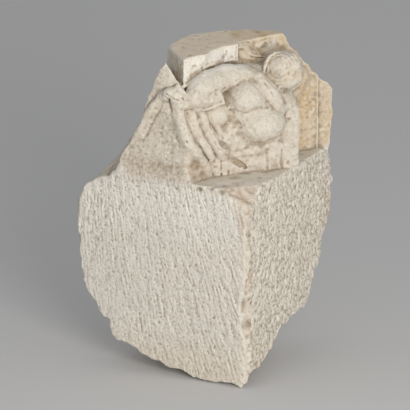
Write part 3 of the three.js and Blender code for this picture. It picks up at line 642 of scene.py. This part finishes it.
if len(faces) > LIMIT:
    # plainer hidden sides give up their triangles first
    y, z = pos[:, 1] / U + BACK, pos[:, 2] / U - Z0
    t = pos[:, 0] / U
    near = np.minimum(np.abs(y - np.abs(t)), np.where(z > -4, 0, 99)) < 5
    weight = np.where(near & (y < 148.5) & (y < 135 + 40 * (z > 118)), 0.0, 1.0)
    group = stone.vertex_groups.new(name="plain")
    plain = np.nonzero(weight > 0.5)[0]
    group.add(plain.tolist(), 1.0, "REPLACE")
    thinned(LIMIT / len(faces), group.name)
    # a vertex with no weight is never merged, so the rest is thinned evenly
    for _ in range(3):
        if triangles() > LIMIT:
            thinned(0.995 * LIMIT / triangles())

mesh = stone.data
print("triangles", triangles())
co = np.empty(len(mesh.vertices) * 3, F)
mesh.vertices.foreach_get("co", co)
co = co.reshape(-1, 3).astype(float)
# the skin stays inside the solid's box
low, high = np.array(cad_box[0]) + 5e-5, np.array(cad_box[1]) - 5e-5
co = np.clip(co, low, high)
mesh.vertices.foreach_set("co", co.astype(F).ravel())
mesh.update()
mesh.shade_smooth()
mesh.set_sharp_from_angle(angle=math.radians(48))

# ---------------------------------------------------------------- hollows, stains, painted light and painted shade
edges = np.empty(len(mesh.edges) * 2, np.int32)
mesh.edges.foreach_get("vertices", edges)
edges = edges.reshape(-1, 2)
nrm = np.empty(len(mesh.vertices) * 3, F)
mesh.vertices.foreach_get("normal", nrm)
nrm = nrm.reshape(-1, 3).astype(float)
valence = np.bincount(edges.ravel(), minlength=len(co)).astype(float)


def spread(v):
    out = np.zeros_like(v)
    for c in range(v.shape[1]):
        out[:, c] = np.bincount(edges[:, 0], v[edges[:, 1], c], len(v)) + np.bincount(edges[:, 1], v[edges[:, 0], c], len(v))
    return out / valence[:, None]


def hollow(rounds):
    v = co.copy()
    for _ in range(rounds):
        v = spread(v)
    return np.einsum("ij,ij->i", v - co, nrm) / U


fine = hollow(2)
wide = hollow(20)
fine_a = np.clip(0.5 + fine * 1.6, 0, 1)
wide_a = np.clip(0.5 + wide * 0.5, 0, 1)
t, d, z = co[:, 0] / U, co[:, 1] / U + BACK, co[:, 2] / U - Z0

low_noise = flat_noise(51, t / 16 + 40, z / 18 + 40)
mid_noise = flat_noise(52, t / 6 + 40, z / 6 + d / 9 + 40)
ochre = smooth(t, 74, 84) * smooth(z, 1, 6) * (0.75 + 0.25 * low_noise)
ochre = np.maximum(ochre, 0.75 * smooth(t, 20, 30) * smooth(z, 96, 104) * smooth(d, 96, 100) * (0.7 + 0.4 * mid_noise))
ochre = np.maximum(ochre, 0.6 * np.exp(-(((t - 38) / 10) ** 2 + ((z - 116) / 9) ** 2)) * smooth(d, 90, 100))
ochre = np.maximum(ochre, 0.3 * smooth(z, -150, -195))
rim_r = smooth(t, 100, 126) * smooth(z, -20, -60)
ochre = np.maximum(ochre, 0.4 * rim_r * (0.6 + 0.5 * mid_noise))
pink = np.exp(-(((t - 3) / 6.5) ** 2)) * smooth(d, 12, 7) * smooth(z, 4, -4) * smooth(z, -140, -115) * (0.75 + 0.25 * mid_noise)
corner = smooth(table(z, ARRIS) + 2.5 - d, -2.5, 1.5) * smooth(z, 1, -1) * smooth(z, -60, -40)
pink = np.maximum(pink, 0.8 * corner)
pink = np.maximum(pink, 0.9 * np.exp(-(((t - 1) / 10) ** 2 + ((z + 148) / 13) ** 2)) * smooth(d, 22, 12))
# brown painted shade: in the hollow beside the ledge's tip, under the lower lobe, inside the arm, under the ledge's
# lip, on the small ledge, low on the left face and on the shoulder slope
painted_shade_brown = np.exp(-(((t + 38) / 10) ** 2 + ((z - 14) / 11) ** 2)) * smooth(d, 66, 58)
painted_shade_brown = np.maximum(painted_shade_brown, 0.8 * np.exp(-(((t - 50) / 11) ** 2 + ((z - 33) / 4.5) ** 2)))
painted_shade_brown = np.maximum(painted_shade_brown, 0.55 * np.exp(-(((t + 1) / 5) ** 2 + ((z - 84) / 8) ** 2)))
painted_shade_brown = np.maximum(painted_shade_brown, 0.5 * np.exp(-(((t + 22) / 20) ** 2 + ((z + 3) / 4) ** 2)) * (0.7 + 0.3 * mid_noise))
painted_shade_brown = np.maximum(painted_shade_brown, 0.18 * smooth(t, 66, 58) * smooth(z, 2.5, 0.5) * smooth(z, -6, -2) * smooth(d, np.abs(t) + 9, np.abs(t) + 3))
painted_shade_brown = np.maximum(painted_shade_brown, 0.6 * smooth(z, 26, 12) * smooth(z, -8, 2) * smooth(t, -40, -52) * smooth(t, -104, -90))
painted_shade_brown = np.maximum(painted_shade_brown, 0.42 * smooth(np.abs((t + 106) * -0.556 + (d - 106) * 0.105 + (z - 1) * 0.826), 5, 2) * smooth(t, -98, -104) * smooth(d + t, 1, 4))
s_left, s_right = (d - t) * math.sqrt(0.5), (d + t) * math.sqrt(0.5)
stroke = s_left - np.tan(lean_of(s_left)) * z + 0.9 * flat_noise(21, s_left / 13 + 60, z / 24 + 60)
on_left = smooth(z, 14, -4) * smooth(np.abs(d + t), 6, 3) * smooth(t, 2, -3)
on_right = smooth(z, 2, -3) * smooth(np.abs(d - t), 6, 3) * smooth(t, -2, 3)
mesh.attributes.new("stroke", "FLOAT", "POINT").data.foreach_set("value", stroke.astype(F))
mesh.attributes.new("level", "FLOAT", "POINT").data.foreach_set("value", z.astype(F))
# the top face; its tone is painted light, a lighter and warmer tone set for how lit it looks
on_top = smooth(z, 121.5, 123)
# painted light: the upper part of the left face and the lip at the ledge's left tip are made paler for how lit they
# look
light = np.maximum(0.55 * on_left * smooth(z, -75, -25), 0.4 * smooth(z, 3.5, 2) * smooth(z, -3, -1) * smooth(d, np.abs(t) + 2, np.abs(t) + 5) * smooth(t, -45, -38))
broken = smooth(t, -8, 4) * smooth(z, 52, 40) * smooth(z, 1, 3) * smooth(t, 80, 74)
# painted light: the slab's front, which faces the lamp, is painted paler
slab_front = smooth(z, table(t, ARCH), table(t, ARCH) + 4) * smooth(z, 123.2, 122) * smooth(t, -46.5, -44) * smooth(t, 24, 20) * smooth(d, 112, 108)
ochre = np.maximum(ochre, 0.5 * np.exp(-(((t - 64) / 8) ** 2 + ((z - 97) / 9) ** 2)) * smooth(d, 74, 68))
for name, values in (("hollow_fine", fine_a), ("hollow_wide", wide_a), ("ochre", ochre), ("pink", pink), ("painted_shade_brown", painted_shade_brown), ("on_left", on_left), ("on_right", on_right), ("on_top", on_top), ("slab_front", slab_front), ("broken", broken), ("light", light)):
    attr = mesh.attributes.new(name, "FLOAT", "POINT")
    attr.data.foreach_set("value", np.clip(values, 0, 1).astype(F))


# ---------------------------------------------------------------- limestone
WARM, COOL, PALE = (0.625, 0.54, 0.43), (0.655, 0.59, 0.49), (0.685, 0.625, 0.525)
# painted light: the dressed faces get paler tones set for how lit they look
LEFT_PAINTED_LIGHT, RIGHT_PAINTED_LIGHT = (0.80, 0.745, 0.665), (0.84, 0.78, 0.675)
# painted light: paler tones for the top face, the slab's front and the upper left face, set for how lit they look
TOP_PAINTED_LIGHT, FRONT_PAINTED_LIGHT, PAINTED_LIGHT = (0.84, 0.70, 0.53), (0.91, 0.86, 0.78), (0.89, 0.85, 0.78)
OCHRE, PINK, PAINTED_SHADE_BROWN = (0.64, 0.47, 0.27), (0.53, 0.385, 0.275), (0.37, 0.265, 0.175)


def limestone():
    m = bpy.data.materials.new("limestone")
    m.use_nodes = True
    nt = m.node_tree
    nt.nodes.clear()
    N, L = nt.nodes, nt.links
    out = N.new("ShaderNodeOutputMaterial")
    bsdf = N.new("ShaderNodeBsdfPrincipled")
    L.new(bsdf.outputs[0], out.inputs[0])
    bsdf.inputs["Metallic"].default_value = 0.0
    bsdf.inputs["Specular IOR Level"].default_value = 0.25
    coord = N.new("ShaderNodeTexCoord")

    def noise(scale, detail=3.0, rough=0.55, stretch=(1, 1, 1)):
        mp = N.new("ShaderNodeMapping")
        mp.inputs["Scale"].default_value = stretch
        L.new(coord.outputs["Object"], mp.inputs["Vector"])
        n = N.new("ShaderNodeTexNoise")
        n.inputs["Scale"].default_value = scale
        n.inputs["Detail"].default_value = detail
        n.inputs["Roughness"].default_value = rough
        L.new(mp.outputs[0], n.inputs["Vector"])
        return n.outputs["Fac"]

    def span(sock, a, b, c=0.0, d=1.0):
        r = N.new("ShaderNodeMapRange")
        r.inputs["From Min"].default_value = a
        r.inputs["From Max"].default_value = b
        r.inputs["To Min"].default_value = c
        r.inputs["To Max"].default_value = d
        L.new(sock, r.inputs["Value"])
        return r.outputs["Result"]

    def attr(name):
        a = N.new("ShaderNodeAttribute")
        a.attribute_name = name
        return a.outputs["Fac"]

    def math_(op, a, b):
        n = N.new("ShaderNodeMath")
        n.operation = op
        for s, v in zip(n.inputs, (a, b)):
            if isinstance(v, (int, float)):
                s.default_value = v
            else:
                L.new(v, s)
        return n.outputs[0]

    def blend(fac, a, b, mode="MIX"):
        n = N.new("ShaderNodeMix")
        n.data_type = "RGBA"
        n.blend_type = mode
        n.clamp_factor = True
        if isinstance(fac, (int, float)):
            n.inputs[0].default_value = fac
        else:
            L.new(fac, n.inputs[0])
        for i, v in ((6, a), (7, b)):
            if isinstance(v, tuple):
                n.inputs[i].default_value = (*v, 1)
            else:
                L.new(v, n.inputs[i])
        return n.outputs[2]

    def tooling(across, along_, detail=2.0, shift=0.0):
        c = N.new("ShaderNodeCombineXYZ")
        L.new(math_("MULTIPLY", attr("stroke"), 1 / across), c.inputs[0])
        L.new(math_("MULTIPLY", attr("level"), 1 / along_), c.inputs[1])
        c.inputs[2].default_value = shift
        n = N.new("ShaderNodeTexNoise")
        n.inputs["Scale"].default_value = 1.0
        n.inputs["Detail"].default_value = detail
        n.inputs["Roughness"].default_value = 0.55
        L.new(c.outputs[0], n.inputs["Vector"])
        return n.outputs["Fac"]

    broad = noise(9.0, 4, 0.55)
    patch = noise(38.0, 5, 0.6)
    mottle = noise(190.0, 5, 0.68)
    speck = noise(430.0, 3, 0.65)
    grain = noise(900.0, 2, 0.6)
    long_ = tooling(2.2, 20.0)
    short = tooling(1.5, 4.0, 2.0, 5.0)
    left, right = attr("on_left"), attr("on_right")
    wander = math_("MULTIPLY", noise(26.0, 2, 0.5), 9.0)
    rows_ = math_("SINE", math_("ADD", math_("MULTIPLY", attr("stroke"), 2 * math.pi / 3.7), wander), 0.0)
    flecked = math_("SUBTRACT", 1.0, math_("MULTIPLY", attr("on_top"), 0.75))
    # clean stone, warmer and cooler in patches, then painted light: paler tones for the dressed faces, the top, the
    # slab's front and the upper left face, set for how lit they look
    col = blend(span(broad, 0.36, 0.64), WARM, COOL)
    col = blend(math_("MULTIPLY", span(patch, 0.40, 0.62), 0.5), col, PALE)
    col = blend(math_("MULTIPLY", left, 0.85), col, LEFT_PAINTED_LIGHT)
    col = blend(math_("MULTIPLY", right, 0.72), col, RIGHT_PAINTED_LIGHT)
    # painted light on the top face
    col = blend(math_("MULTIPLY", attr("on_top"), 0.85), col, TOP_PAINTED_LIGHT)
    # painted light on the slab's front
    col = blend(math_("MULTIPLY", attr("slab_front"), 0.85), col, FRONT_PAINTED_LIGHT)
    # painted light on the upper left face and the ledge's lip
    col = blend(attr("light"), col, PAINTED_LIGHT)
    # stains, and brown painted shade in hollows, under overhangs and on faces turned up
    col = blend(math_("MULTIPLY", attr("ochre"), span(patch, 0.3, 0.6, 0.55, 1.0)), col, OCHRE)
    col = blend(math_("MULTIPLY", attr("pink"), span(patch, 0.35, 0.6, 0.35, 0.9)), col, PINK)
    col = blend(math_("MULTIPLY", attr("painted_shade_brown"), 0.8), col, PAINTED_SHADE_BROWN)
    # darker in the hollows, painted highlight on convex edges
    col = blend(math_("MULTIPLY", span(attr("hollow_wide"), 0.60, 1.0), 0.7), col, (0.36, 0.27, 0.18))
    col = blend(math_("MULTIPLY", span(attr("hollow_fine"), 0.62, 1.0), math_("SUBTRACT", 0.75, math_("MULTIPLY", attr("broken"), 0.5))), col, (0.27, 0.21, 0.15))
    col = blend(math_("MULTIPLY", span(attr("hollow_fine"), 0.45, 0.15), 0.5), col, (0.80, 0.75, 0.65))
    # strokes and pits of the dressed faces: painted shade where their bump is low and painted highlight where it is
    # high, and darker tool rows
    lines = math_("ADD", math_("MULTIPLY", long_, 0.6), math_("MULTIPLY", short, 0.4))
    col = blend(math_("MULTIPLY", math_("MULTIPLY", left, span(lines, 0.48, 0.36)), 0.6), col, (0.40, 0.36, 0.305))
    col = blend(math_("MULTIPLY", math_("MULTIPLY", left, span(lines, 0.52, 0.66)), 0.6), col, (0.80, 0.765, 0.70))
    col = blend(math_("MULTIPLY", math_("MULTIPLY", right, span(mottle, 0.50, 0.36)), 0.8), col, (0.34, 0.29, 0.225))
    col = blend(math_("MULTIPLY", math_("MULTIPLY", right, span(mottle, 0.52, 0.68)), 0.75), col, (0.84, 0.79, 0.70))
    col = blend(math_("MULTIPLY", math_("MULTIPLY", left, span(rows_, 0.1, 1.0)), 0.16), col, (0.42, 0.38, 0.32))
    # dark grains and pale flecks
    col = blend(math_("MULTIPLY", math_("MULTIPLY", span(mottle, 0.48, 0.32), flecked), 0.3), col, (0.45, 0.375, 0.28))
    col = blend(math_("MULTIPLY", math_("MULTIPLY", span(mottle, 0.54, 0.68), flecked), 0.3), col, (0.80, 0.74, 0.64))
    col = blend(math_("MULTIPLY", math_("MULTIPLY", span(speck, 0.57, 0.70), flecked), 0.62), col, (0.34, 0.28, 0.21))
    col = blend(math_("MULTIPLY", math_("MULTIPLY", span(speck, 0.43, 0.31), flecked), 0.62), col, (0.84, 0.79, 0.69))
    L.new(col, bsdf.inputs["Base Color"])
    L.new(span(patch, 0.3, 0.7, 0.80, 0.96), bsdf.inputs["Roughness"])
    bump = N.new("ShaderNodeBump")
    bump.inputs["Strength"].default_value = 0.8
    bump.inputs["Distance"].default_value = 0.0017
    height = math_("ADD", math_("MULTIPLY", speck, -0.7), math_("MULTIPLY", grain, 0.3))
    height = math_("ADD", height, math_("MULTIPLY", mottle, math_("ADD", math_("MULTIPLY", right, 0.8), 0.35)))
    height = math_("ADD", height, math_("MULTIPLY", math_("MULTIPLY", left, lines), 1.3))
    L.new(height, bump.inputs["Height"])
    L.new(bump.outputs[0], bsdf.inputs["Normal"])
    return m


mesh.materials.clear()
mesh.materials.append(limestone())
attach(stone, "root")
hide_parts("corbel_stone")


# ---------------------------------------------------------------- floor, light, camera
def plain(name, colour, rough):
    m = bpy.data.materials.new(name)
    m.use_nodes = True
    b = m.node_tree.nodes["Principled BSDF"]
    b.inputs["Base Color"].default_value = (*colour, 1)
    b.inputs["Roughness"].default_value = rough
    b.inputs["Specular IOR Level"].default_value = 0.2
    return m


floor_z = cad_box[0][2] - 0.0005
fm = bpy.data.meshes.new("floor")
fm.from_pydata([(-14, -14, floor_z), (14, -14, floor_z), (14, 14, floor_z), (-14, 14, floor_z)], [], [(0, 1, 2, 3)])
floor = bpy.data.objects.new("floor", fm)
fm.materials.append(plain("floor_plain", (0.62, 0.61, 0.60), 0.9))
bpy.context.scene.collection.objects.link(floor)

scene = bpy.context.scene
world = bpy.data.worlds.new("studio")
scene.world = world
world.use_nodes = True
world.node_tree.nodes["Background"].inputs[0].default_value = (0.95, 0.97, 1.0, 1)
world.node_tree.nodes["Background"].inputs[1].default_value = 0.46
scene.view_settings.view_transform = "Standard"
scene.view_settings.look = "None"
scene.view_settings.exposure = 0.0

AZ, EL = math.radians(-17.5), math.radians(18.0)
target = Vector((-0.030, -0.104, 0.0117))
toward = Vector((math.sin(AZ) * math.cos(EL), -math.cos(AZ) * math.cos(EL), math.sin(EL)))


def aimed(obj, place, at):
    obj.location = place
    obj.rotation_euler = (at - place).to_track_quat("-Z", "Y").to_euler()


def softbox(name, azimuth, elevation, far, size, watts, colour):
    data = bpy.data.lights.new(name, "AREA")
    data.shape = "RECTANGLE"
    data.size, data.size_y = size
    data.energy = watts
    data.color = colour
    light = bpy.data.objects.new(name, data)
    a, e = math.radians(azimuth), math.radians(elevation)
    place = target + far * Vector((math.sin(a) * math.cos(e), -math.cos(a) * math.cos(e), math.sin(e)))
    aimed(light, place, target)
    scene.collection.objects.link(light)


softbox("key", -2, 17, 2.4, (1.0, 0.9), 38, (1.0, 0.985, 0.955))

DIST = 20.0
cam_data = bpy.data.cameras.new("camera")
cam_data.sensor_width = 36
cam_data.sensor_fit = "HORIZONTAL"
cam_data.lens = 36 * DIST / (410 * U)
cam_data.clip_end = 100
cam = bpy.data.objects.new("camera", cam_data)
aimed(cam, target + DIST * toward, target)
scene.collection.objects.link(cam)
scene.camera = cam
